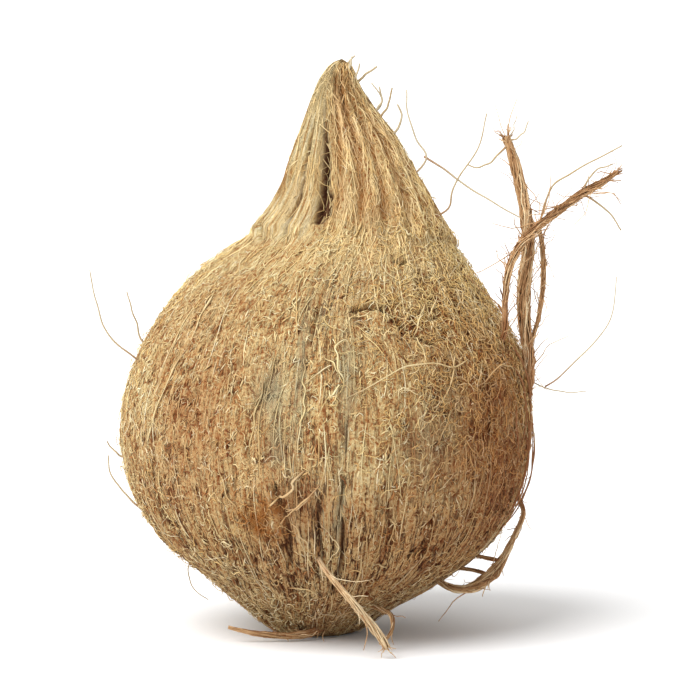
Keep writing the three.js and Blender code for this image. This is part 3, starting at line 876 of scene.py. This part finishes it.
# Filaments turn by so many radians in so many mm. Lengths and thicknesses are in mm.
WINDING = dict(turn=(2, 5), length=40, thick=(0.13, 0.26), tone_spread=0.16)
FRAY = dict(forward=0.75, length=(1, 16), tuft_length=(1, 4.5), wisp_length=(6, 15), thick=(0.13, 0.25),
            tone_spread=0.18)


def carried_frame(line):
    """Two directions across a line at each of its points. The first is carried along: at every point the last
    one, less its share in the new run."""
    run = unit(np.gradient(line, axis=0))
    side = np.cross(run[0], (0.3, 1, 0.2))
    sides = []
    for forward in run:
        side = unit(side - (side @ forward) * forward)
        sides.append(side)
    return run, np.array(sides), np.cross(run, sides)


def stack(parts, sides):
    """Several groups of tubes with as many sides as one list of points, faces and measures."""
    points, faces, tones, alongs, begin = [], [], [], [], 0
    for paths, wide, up, flat, tone in parts:
        made, groups = tubes(paths, wide, up, sides, flat)
        points.append(made)
        faces.extend(group + begin for group in groups)
        begin += len(made)
        tones.append(on_rings(np.broadcast_to(tone, wide.shape), sides))
        alongs.append(on_rings(np.broadcast_to(np.linspace(0, 1, wide.shape[1]), wide.shape), sides))
    return np.concatenate(points), faces, np.concatenate(tones), np.concatenate(alongs)


def off_nut(name, parts, sides):
    """Tubes that stand off the nut: no stains or painted shade, and kept inside the CAD solid's box."""
    points, faces, tones, alongs = stack(parts, sides)
    points = np.clip(points, np.array(cad_low) / METRES, np.array(cad_high) / METRES)
    measures = {"tone": tones, "along": alongs, "stain_and_shade": np.zeros((len(points), 3))}
    return new_object(name, points, faces, measures)


def strand(name, seed, route, thickness, flat, frays, tone, tuft=0, wisps=0):
    """A torn strand: a core with filaments wound round it, and frays that leave it at a low angle.
    A filament's place in the strand is cos and sin of a phase that turns slowly along it, times a radius that
    wanders. A fray starts on the strand, tuft of them at its free end, and goes on along its run, outward as
    t^1.5, with a curl and a sway by noise. As many as wisps are long."""
    draw = np.random.default_rng([SEED, seed])
    size = np.linalg.norm(np.diff(route, axis=0), axis=1).sum()
    steps = int(size / STRAND_STEP)
    line = even_line(route, steps)
    run, side, top = carried_frame(line)
    half = np.interp(np.linspace(0, 1, steps), np.linspace(0, 1, len(thickness)), thickness) / 2
    t = np.linspace(0, 1, steps)
    widest = max(thickness)
    count = int(7 + 6 * widest)
    number = np.arange(count)[:, None]
    phase = 2 * np.pi * number / count + draw.uniform(*WINDING["turn"]) * t * size / WINDING["length"]
    phase = phase + 0.6 * cloud(pack(t * size / 5, 7.3 * number, seed))
    reach = half * (0.85 + 0.25 * cloud(pack(t * size / 4, 3.7 * number, 9.5 + seed))
                    + 0.22 * cloud(pack(t * size / 1.5, 5.1 * number, 4.5 + seed)))
    wound = (reach * np.cos(phase))[..., None] * side + (flat * reach * np.sin(phase))[..., None] * top
    thick = draw.uniform(*WINDING["thick"], (count, 1)) * (0.7 + 0.2 * widest)
    thick = thick * (0.9 + 0.4 * cloud(pack(t * size / 2.2, 6.1 * number, 1.5 + seed)))
    filaments = (line + wound, thick, np.broadcast_to(top, (count, steps, 3)), 1.0,
                 np.clip(draw.normal(tone, WINDING["tone_spread"], (count, 1)), 0, 1))
    core = (line[None], 0.7 * half[None], top[None], flat, tone - 0.15)

    curl = np.linspace(0, 1, FRAY_STEPS)
    start = draw.integers(0, steps, frays)
    start[:tuft] = steps - 1 - draw.integers(0, 3, tuft)
    forward = np.where(draw.random(frays) < FRAY["forward"], 1, -1)
    forward[:tuft] = 1
    around = draw.uniform(0, 2 * np.pi, frays)
    outward = np.cos(around)[:, None] * side[start] + np.sin(around)[:, None] * top[start]
    bend = np.cross(run[start], outward) * draw.normal(0, 1, (frays, 1))
    long = np.clip(draw.lognormal(1.1, 0.7, (frays, 1, 1)), *FRAY["length"])
    long[:tuft] = draw.uniform(*FRAY["tuft_length"], (tuft, 1, 1))
    long[tuft:tuft + wisps] = draw.uniform(*FRAY["wisp_length"], (wisps, 1, 1))
    s = curl[None, :, None]
    fray = line[start][:, None] + (half[start, None] * 0.7 * outward)[:, None]
    fray = fray + long * (0.8 * s * (run[start] * forward[:, None])[:, None]
                          + 0.5 * s**1.5 * outward[:, None] + 0.35 * s**2 * bend[:, None])
    place = pack(curl * 3, 5.7 * np.arange(frays)[:, None], seed + 0.3)
    fray = fray + 0.22 * long * s * pack(cloud(place), cloud(place + 23), cloud(place + 57))
    fray_wide = draw.uniform(*FRAY["thick"], (frays, 1)) * (1 - 0.5 * curl)
    loose = (fray, fray_wide, np.broadcast_to(outward[:, None], fray.shape), 1.0,
             np.clip(draw.normal(tone, FRAY["tone_spread"], (frays, 1)), 0, 1))
    return off_nut(name, [filaments, core, loose], 3)


# Loose hairs as points in mm, most of them on the routes of the CAD solid's.
HAIRS = [
    [(-49, -5, 77.8), (-53.4, -6, 81.4), (-56.2, -6, 83.6), (-59.4, -6, 87), (-62.3, -6, 92.7),
     (-65, -6, 105.8)],
    [(-46.5, -3, 81.6), (-50.9, -3, 86), (-51.6, -3, 90), (-53, -3, 94), (-54.4, -3, 99.1)],
    [(-53.7, -4, 51), (-57.2, -4, 52), (-58.8, -4, 53.6), (-60.3, -4, 55.9)],
    [(-49.6, -3, 35.2), (-54.2, -3, 39.5), (-57, -3, 43), (-59.2, -3, 46.5), (-60, -3, 51.7)],
    [(-35.4, -4, 24), (-37, -4, 18), (-36.4, -4, 14.7), (-34.4, -4, 11.8), (-31.2, -4, 9.7)],
    [(58, -2, 75), (62.9, -2, 72.8), (66.9, -2, 71.1), (72.1, -2, 69.9), (77.9, -2, 70.2)],
    [(66, -2, 71.5), (69.2, -2, 73.4), (74.7, -2, 78.6), (81.4, -2, 85.6), (85.4, -2, 93), (86.5, -2, 103.3)],
    [(33, -4, 120), (38.4, -4, 123.6), (39, -4, 128), (41, -4, 132.3), (46.4, -4, 140.4), (49, -4, 150.6)],
    [(25, -3, 130), (31.6, -4, 138), (28.5, -4, 144), (26.3, -4, 151), (26, -4, 157.3)],
    [(31, -4, 138.2), (37.5, -4, 134), (44.4, -4, 129.1), (52.2, -5, 124.3), (60, -5.5, 120)],
    [(55.5, -5, 142), (51.4, -5, 138.2), (48.5, -5, 135.9), (45.9, -5, 135), (43.4, -4.6, 136)],
    [(63.8, -9.6, 118.6), (66.1, -10, 126.6), (67.8, -10, 130.6), (73.3, -9, 134), (87.7, -7, 141.6)],
    [(76.4, -4, 127.6), (77.9, -5, 131), (80.2, -5, 134.4), (85.1, -5, 136)],
    [(76.5, -4, 127.6), (81.1, -3.4, 124.6), (84.7, -3, 121.4), (87.7, -3, 116.8)],
    [(54.6, -5, 141.8), (56.7, -5, 146.3), (57.7, -5, 150.4)],
    [(54.6, -5, 142.3), (59.1, -5, 144.6), (60.9, -5, 148.4)],
]

# Thicker stubs of fibre that stand off the tip and the right of the crown.
STUBS = [
    [(8, 0, 161), (9.6, 0, 165.4), (11.3, 0, 167)],
    [(9, 0, 157), (13.5, 0, 160.7), (17.6, 0, 163.8)],
    [(14, -1, 147), (18.8, -1, 154), (18.2, -1, 158.1)],
    [(17, -1, 147), (21.1, -1, 153.6), (21.9, -1, 157.8)],
    [(13, -1, 146), (18.2, -1, 152.2), (19, -1, 154.4), (15.9, -1, 159.2)],
    [(19, -1, 141), (23.6, -1, 146.4), (24.6, -1, 150), (23.4, -1, 153)],
    [(9, -2, 161), (10, -2, 164.6), (10.4, -2, 166.8)],
    [(10.5, -2, 159), (12, -2, 162.6), (12.6, -2, 164.8)],
]
HAIR_STEPS = 30
HAIR_TONE = (0.6, 0.95)


def hairs(name, seed, routes, thick):
    """Loose hairs as thin tubes, each swaying by noise and tapering to its end."""
    draw = np.random.default_rng([SEED, seed])
    count = len(routes)
    t = np.linspace(0, 1, HAIR_STEPS)
    lines = np.stack([even_line(route, HAIR_STEPS) for route in routes])
    place = pack(t * 6, 5.5 * np.arange(count)[:, None], 0.5)
    sway = pack(cloud(place), cloud(place + 31), cloud(place + 67)) * (0.5 * np.sin(np.pi * t))[:, None]
    wide = draw.uniform(*thick, (count, 1)) * (1 - 0.45 * t)
    up = np.broadcast_to(np.array([0.1, -1, 0.2]), lines.shape)
    tones = draw.uniform(*HAIR_TONE, (count, 1))
    return off_nut(name, [(lines + sway, wide, up, 1.0, tones)], 5)


def colour(red, green, blue):
    """An sRGB colour from 0 to 255 as linear light, with alpha."""
    share = np.array([red, green, blue]) / 255
    linear = np.where(share <= 0.04045, share / 12.92, ((share + 0.055) / 1.055) ** 2.4)
    return (*linear, 1.0)


class Finish:
    """A material, with a short way to add its nodes and join them."""

    def __init__(self, name, roughness, specular):
        self.material = bpy.data.materials.new(name)
        self.material.use_nodes = True
        self.tree = self.material.node_tree
        self.shader = self.tree.nodes["Principled BSDF"]
        self.shader.inputs["Roughness"].default_value = roughness
        self.shader.inputs["Specular IOR Level"].default_value = specular

    def add(self, kind, inputs, **settings):
        """A new node with its settings, and each named input joined to a socket or set to a value."""
        made = self.tree.nodes.new(kind)
        for label, value in settings.items():
            setattr(made, label, value)
        for label, source in inputs.items():
            if isinstance(source, bpy.types.NodeSocket):
                self.tree.links.new(source, made.inputs[label])
            else:
                made.inputs[label].default_value = source
        return made

    def place(self):
        """The place on the piece, in metres."""
        return self.add("ShaderNodeTexCoord", {}).outputs["Object"]

    def measure(self, label):
        """A number that the mesh carries for each point."""
        return self.add("ShaderNodeAttribute", {}, attribute_name=label).outputs["Fac"]

    def vector(self, label):
        """A vector that the mesh carries for each point."""
        return self.add("ShaderNodeAttribute", {}, attribute_name=label).outputs["Vector"]

    def split(self, vector):
        """The three numbers of a vector."""
        return self.add("ShaderNodeSeparateXYZ", {"Vector": vector}).outputs

    def noise(self, place, scale, detail=3.0, roughness=0.6):
        """Smooth noise from 0 to 1 at a place."""
        inputs = {"Vector": place, "Scale": scale, "Detail": detail, "Roughness": roughness}
        return self.add("ShaderNodeTexNoise", inputs).outputs["Fac"]

    def span(self, source, low, high, least=0.0, most=1.0):
        """A number mapped from low..high to least..most and held there."""
        inputs = {"Value": source, "From Min": low, "From Max": high, "To Min": least, "To Max": most}
        return self.add("ShaderNodeMapRange", inputs).outputs["Result"]

    def sums(self, *parts):
        """The sum of sockets, each times its weight."""
        total = 0.0
        for source, weight in parts:
            added = self.add("ShaderNodeMath", {0: source, 1: weight, 2: total}, operation="MULTIPLY_ADD")
            total = added.outputs[0]
        return total

    def ramp(self, source, stops):
        """Colours along a number from 0 to 1. Each stop is its place, red, green and blue."""
        made = self.add("ShaderNodeValToRGB", {"Fac": source})
        elements = made.color_ramp.elements
        while len(elements) < len(stops):
            elements.new(0.5)
        for element, (place, *shade) in zip(elements, stops):
            element.position = place
            element.color = colour(*shade)
        return made.outputs["Color"]

    def mix(self, share, first, second, blend="MIX"):
        """The first colour with that share of the second."""
        made = self.add("ShaderNodeMix", {0: share, 6: first, 7: second}, data_type="RGBA", blend_type=blend)
        return made.outputs[2]

    def bump(self, height, depth, under=None):
        """Relief of depth metres at a height of 1, on top of another relief if under is given."""
        inputs = {"Height": height, "Distance": depth, "Strength": 1.0}
        if under is not None:
            inputs["Normal"] = under
        return self.add("ShaderNodeBump", inputs).outputs["Normal"]

    def wear_and_shade(self, tint, streak):
        """Stains over a tint: grey husk and rust broken up by the streaks, then damp and painted shade."""
        grey, rust, damp_and_shade = self.split(self.vector("stain_and_shade"))
        broken = self.span(streak, 0.3, 0.6, 0.35, 1.0)
        tint = self.mix(self.times(grey, broken), tint, GREY_HUSK)
        tint = self.mix(self.times(rust, broken), tint, RUST)
        return self.mix(damp_and_shade, tint, DAMP_AND_SHADE_TINT, "MULTIPLY")

    def crossing(self, noise, width):
        """Thin lines: 1 where noise crosses its middle, 0 where it is farther from it than width."""
        away = self.add("ShaderNodeMath", {0: noise, 1: 0.5}, operation="SUBTRACT").outputs[0]
        away = self.add("ShaderNodeMath", {0: away}, operation="ABSOLUTE").outputs[0]
        return self.span(away, 0.3 * width, width, 1.0, 0.0)

    def times(self, first, second):
        """The product of two numbers."""
        return self.add("ShaderNodeMath", {0: first, 1: second}, operation="MULTIPLY").outputs[0]

    def done(self, tint, normal):
        """The material with its colour and relief joined."""
        self.tree.links.new(tint, self.shader.inputs["Base Color"])
        self.tree.links.new(normal, self.shader.inputs["Normal"])
        return self.material


GREY_HUSK = colour(166, 155, 122)
RUST = colour(158, 98, 34)
# Multiplied over the husk and fibres, for damp and for painted shade.
DAMP_AND_SHADE_TINT = colour(192, 135, 100)
# Dark red-brown of the woody husk's cracks, and painted shade deep in the cuts.
CREVICE = colour(84, 48, 26)
# Painted shade in the cores of gaping slits.
SLIT_CORE = colour(98, 74, 46)
# Red-brown of flecks, pits and fibre roots, with painted shade in the mat's hollows.
GAP = colour(136, 74, 32)

# Scales of noise: on the place in metres, or on the flow, whose cells are FLOW wide and long.
SCALES = dict(fleck=1100, mottle=420, shade=60, streak=1.6, fold=0.5, crack=0.5, slit=0.8, break_up=0.35)

# Relief in metres.
BUMPS = dict(fleck=0.001, streak=0.0009, fold=0.002, mottle=0.0002)

# Half widths of lines in the measures that they follow.
LINES = dict(crack=0.03, slit_margin=1.8, slit_core=0.4)

# Colours from dark to pale, each with its place and its red, green and blue.
TONES = dict(
    mat=[(0.0, 122, 72, 38), (0.3, 174, 128, 78), (0.55, 202, 173, 120), (0.8, 216, 196, 148),
         (1.0, 228, 215, 176)],
    flap=[(0.36, 168, 114, 62), (0.44, 210, 178, 122), (0.52, 230, 208, 156), (0.62, 242, 226, 184)],
    straw=[(0.0, 122, 70, 34), (0.25, 168, 120, 70), (0.5, 200, 172, 118), (0.75, 218, 201, 152),
           (1.0, 232, 222, 186)],
    pale=[(0.0, 130, 86, 46), (0.3, 174, 133, 78), (0.6, 213, 181, 122), (1.0, 238, 218, 168)],
    warm=[(0.0, 128, 66, 26), (0.25, 178, 124, 64), (0.5, 214, 178, 112), (0.75, 230, 204, 142),
          (1.0, 240, 222, 176)],
    tan=[(0.0, 108, 70, 42), (0.35, 158, 116, 76), (0.65, 196, 158, 114), (1.0, 222, 200, 162)],
    grey=[(0.0, 124, 96, 60), (0.5, 160, 136, 96), (1.0, 190, 176, 148)],
)


def slit_lines(finish, tint, flow):
    """The slits over a tint: a grey margin of husk and a dark core of painted shade, both wandering and
    broken, where they gape.
    """
    wander = finish.noise(flow, SCALES["slit"], 4)
    slit = finish.sums((finish.measure("slit"), 1.0), (wander, 1.0))
    broken = finish.span(finish.noise(flow, SCALES["break_up"], 2), 0.48, 0.6)
    gape = finish.times(finish.measure("gape"), broken)
    margin = finish.crossing(slit, LINES["slit_margin"])
    margin = finish.times(margin, finish.span(gape, 0.1, 0.7, 0.0, 0.7))
    core = finish.crossing(slit, LINES["slit_core"])
    core = finish.times(core, finish.span(gape, 0.3, 0.7))
    return finish.mix(core, finish.mix(margin, tint, GREY_HUSK), SLIT_CORE)


def husk_mat():
    """The mat itself: straw and red-brown streaks along the grain, red-brown flecks, pits that are partly
    painted shade, dark cracks, painted shade in crevices and slit cores, and a pale flap."""
    finish = Finish("husk_mat", roughness=0.92, specular=0.2)
    place, flow = finish.place(), finish.vector("flow")
    streak = finish.noise(flow, SCALES["streak"], 6, 0.65)
    fleck = finish.noise(place, SCALES["fleck"], 4)
    fold = finish.noise(flow, SCALES["fold"], 6, 0.65)
    shade = finish.sums((streak, 0.45), (fleck, 0.4), (finish.noise(place, SCALES["shade"]), 0.2))
    tint = finish.ramp(finish.span(shade, 0.36, 0.7), TONES["mat"])
    tint = finish.mix(finish.span(fleck, 0.44, 0.34, 0.0, 0.8), tint, GAP)
    # Red-brown in pits and hollows: partly the husk's colour, partly painted shade.
    pit = finish.span(finish.measure("pit"), 0.45, 0.9)
    tint = finish.mix(finish.times(pit, finish.span(streak, 0.35, 0.6, 1.0, 0.45)), tint, GAP)
    crack = finish.crossing(finish.noise(flow, SCALES["crack"], 4), LINES["crack"])
    crack = finish.times(crack, finish.measure("bark"))
    tint = finish.mix(crack, tint, CREVICE)
    flap = finish.ramp(fold, TONES["flap"])
    tint = finish.mix(finish.times(finish.measure("flap"), 0.95), tint, flap)
    tint = finish.wear_and_shade(tint, streak)
    # Painted shade in slits, clefts, furrow and scored lines, darker with their depth.
    tint = finish.mix(finish.span(finish.measure("deep"), 0.3, 1.0), tint, CREVICE)
    tint = slit_lines(finish, tint, flow)
    folds = finish.sums((finish.times(fold, finish.measure("flap")), 1.0), (crack, -0.6))
    normal = finish.bump(streak, BUMPS["streak"], finish.bump(folds, BUMPS["fold"]))
    return finish.done(tint, finish.bump(fleck, BUMPS["fleck"], normal))


def coir(name, stops, roughness):
    """A fibre: its own tone from dark to pale, mottled, darker at its root, with the skin's stains and
    painted shade.
    """
    finish = Finish(name, roughness, specular=0.25)
    mottle = finish.noise(finish.place(), SCALES["mottle"])
    tone = finish.sums((finish.measure("tone"), 1.0), (mottle, 0.6))
    tint = finish.ramp(finish.span(tone, 0.3, 1.3), stops)
    tint = finish.mix(finish.span(finish.measure("along"), 0.0, 0.35, 0.7, 0.0), tint, GAP)
    return finish.done(finish.wear_and_shade(tint, mottle), finish.bump(mottle, BUMPS["mottle"]))


def finishes():
    """Every material of the coconut by name."""
    return {
        "husk_mat": husk_mat(),
        "straw_coir": coir("straw_coir", TONES["straw"], 0.8),
        "curly_coir": coir("curly_coir", TONES["warm"], 0.8),
        "crown_coir": coir("crown_coir", TONES["pale"], 0.8),
        "torn_coir": coir("torn_coir", TONES["tan"], 0.75),
        "hair_coir": coir("hair_coir", TONES["grey"], 0.6),
    }


# A pale studio: a wide floor, one soft sun from the upper left front, and a white surround that is dimmer on
# the right.
FLOOR_REACH = 30000
SUN = dict(direction=(0.6, 0.6, -1.0), strength=3.35, softness=45)
SURROUND = dict(strength=1.0, dim=0.48, bright_until=0.2, dim_from=0.7)
FLOOR_SHADE = (0.88, 0.88, 0.88, 1)


def studio():
    """The floor, the sun and the surround."""
    corners = np.array([(-1, -1, 0), (1, -1, 0), (1, 1, 0), (-1, 1, 0)]) * FLOOR_REACH
    floor = new_object("floor", corners.astype(float), [np.array([[0, 1, 2, 3]])], {})
    finish = Finish("floor", roughness=0.9, specular=0.1)
    finish.shader.inputs["Base Color"].default_value = FLOOR_SHADE
    floor.data.materials.append(finish.material)

    data = bpy.data.lights.new("sun", "SUN")
    data.energy = SUN["strength"]
    data.angle = math.radians(SUN["softness"])
    lamp = bpy.data.objects.new("sun", data)
    lamp.rotation_euler = Vector(SUN["direction"]).to_track_quat("-Z", "Y").to_euler()
    bpy.context.scene.collection.objects.link(lamp)

    world = bpy.data.worlds.new("surround")
    world.use_nodes = True
    nodes, links = world.node_tree.nodes, world.node_tree.links
    to_right = nodes.new("ShaderNodeSeparateXYZ")
    links.new(nodes.new("ShaderNodeTexCoord").outputs["Generated"], to_right.inputs["Vector"])
    fade = nodes.new("ShaderNodeMapRange")
    links.new(to_right.outputs["X"], fade.inputs["Value"])
    fade.inputs["From Min"].default_value = SURROUND["bright_until"]
    fade.inputs["From Max"].default_value = SURROUND["dim_from"]
    fade.inputs["To Min"].default_value = SURROUND["strength"]
    fade.inputs["To Max"].default_value = SURROUND["dim"]
    background = nodes["Background"]
    background.inputs["Color"].default_value = (1, 1, 1, 1)
    links.new(fade.outputs["Result"], background.inputs["Strength"])
    bpy.context.scene.world = world
    bpy.context.scene.view_settings.view_transform = "Standard"


# The camera of the photograph: a long lens, a little above, looking at the middle of the coconut.
LENS = 300.0
SENSOR = 36.0
ELEVATION = 6.5
AIM = Vector((0.0098, 0.0, 0.0819))
DISTANCE = 1.683


def camera():
    """The camera, DISTANCE from AIM and ELEVATION degrees above it."""
    data = bpy.data.cameras.new("camera")
    data.lens, data.sensor_width = LENS, SENSOR
    made = bpy.data.objects.new("camera", data)
    tilt = math.radians(ELEVATION)
    made.location = AIM + DISTANCE * Vector((0, -math.cos(tilt), math.sin(tilt)))
    made.rotation_euler = (math.radians(90) - tilt, 0, 0)
    bpy.context.scene.collection.objects.link(made)
    bpy.context.scene.camera = made


# Seeds of the pieces' draws, the strands' being the first of a row.
SEEDS = dict(laid=20, roots=21, hairs=40, stubs=41, strands=50)


def coconut():
    """The matted skin with its coats, single fibres, torn strands, loose hairs and stubs."""
    finish = finishes()
    dress(matted_skin(), finish["husk_mat"])
    for seed, (name, settings) in enumerate(COATS.items()):
        material = {"crown_fibres": "crown_coir", "curly_coat": "curly_coir"}.get(name, "straw_coir")
        dress(coat(name, seed, **settings), finish[material])
    dress(laid("laid_fibres", SEEDS["laid"], LAID, tone=(0.55, 0.85)), finish["straw_coir"])
    dress(laid("root_fibres", SEEDS["roots"], ROOTS, tone=(0.25, 0.5)), finish["torn_coir"])
    for seed, (name, settings) in enumerate(STRANDS.items()):
        dress(strand(name, SEEDS["strands"] + seed, **settings), finish["torn_coir"])
    dress(hairs("loose_hairs", SEEDS["hairs"], HAIRS, thick=(0.2, 0.38)), finish["hair_coir"])
    dress(hairs("crown_stubs", SEEDS["stubs"], STUBS, thick=(0.35, 0.55)), finish["hair_coir"])


camera()
studio()
coconut()
